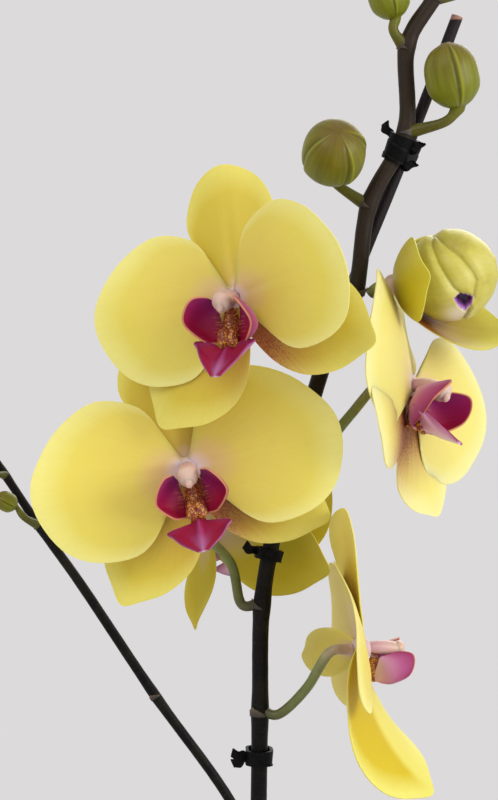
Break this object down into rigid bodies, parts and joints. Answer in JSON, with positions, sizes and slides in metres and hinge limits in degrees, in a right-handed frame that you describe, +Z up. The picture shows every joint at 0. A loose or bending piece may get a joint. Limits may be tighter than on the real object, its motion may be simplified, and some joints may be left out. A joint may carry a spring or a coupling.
{
  "type": "potted moth orchid",
  "caption": "Moth orchid in a plain round pot: a staked, arching spike of yellow flowers with magenta lips and closed buds, a second spike, strap leaves and bark.",
  "frame": {"origin": "centre of the pot's flat underside", "axes": "+Z up along the pot's axis; -Y is the front, the side that the picture shows; +X to its right"},
  "size_m": [0.4361, 0.1584, 0.642],
  "materials": {
    "petal_yellow": "soft satin petal, clear yellow",
    "lip_magenta": "satin petal, magenta with a yellow callus",
    "column_white": "waxy pinkish white",
    "stalk_green": "satin pale green, pinkish near the flower",
    "stem_dark": "satin dark purplish brown",
    "bud_green": "waxy olive green",
    "leaf_green": "leathery satin green",
    "root_silver": "matt silvery green",
    "stake_brown": "stained wood, matt",
    "tie_black": "black florist's tape, low sheen",
    "bark_brown": "rough bark chips",
    "pot_ceramic": "plain off-white glaze"
  },
  "bodies": {
    "root": {"bloom_a_tepals": "petal_yellow", "bloom_a_lip": "lip_magenta", "bloom_a_column": "column_white", "bloom_a_stalk": "stalk_green", "bloom_b_tepals": "petal_yellow", "bloom_b_lip": "lip_magenta", "bloom_b_column": "column_white", "bloom_b_stalk": "stalk_green", "bloom_c_tepals": "petal_yellow", "bloom_c_lip": "lip_magenta", "bloom_c_column": "column_white", "bloom_c_stalk": "stalk_green", "bloom_d_tepals": "petal_yellow", "bloom_d_lip": "lip_magenta", "bloom_d_column": "column_white", "bloom_d_stalk": "stalk_green", "bloom_e_tepals": "petal_yellow", "bloom_e_lip": "lip_magenta", "bloom_e_column": "column_white", "bloom_e_stalk": "stalk_green", "half_open_petals": "petal_yellow", "half_open_sepals": "bud_green", "half_open_stalk": "stalk_green", "bud_1": "bud_green", "bud_2": "bud_green", "bud_3": "bud_green", "bud_4": "bud_green", "bud_5": "bud_green", "spike2_bud_1": "bud_green", "spike2_bud_2": "bud_green", "spike2_bud_3": "bud_green", "spike_main": "stem_dark", "spike_second": "stem_dark", "stake": "stake_brown", "tie_top": "tie_black", "tie_middle": "tie_black", "tie_low": "tie_black", "leaf_1": "leaf_green", "leaf_2": "leaf_green", "leaf_3": "leaf_green", "leaf_4": "leaf_green", "leaf_5": "leaf_green", "leaf_6": "leaf_green", "crown": "leaf_green", "root_1": "root_silver", "root_2": "root_silver", "root_3": "root_silver", "bark": "bark_brown", "pot": "pot_ceramic"}
  },
  "joints": []
}
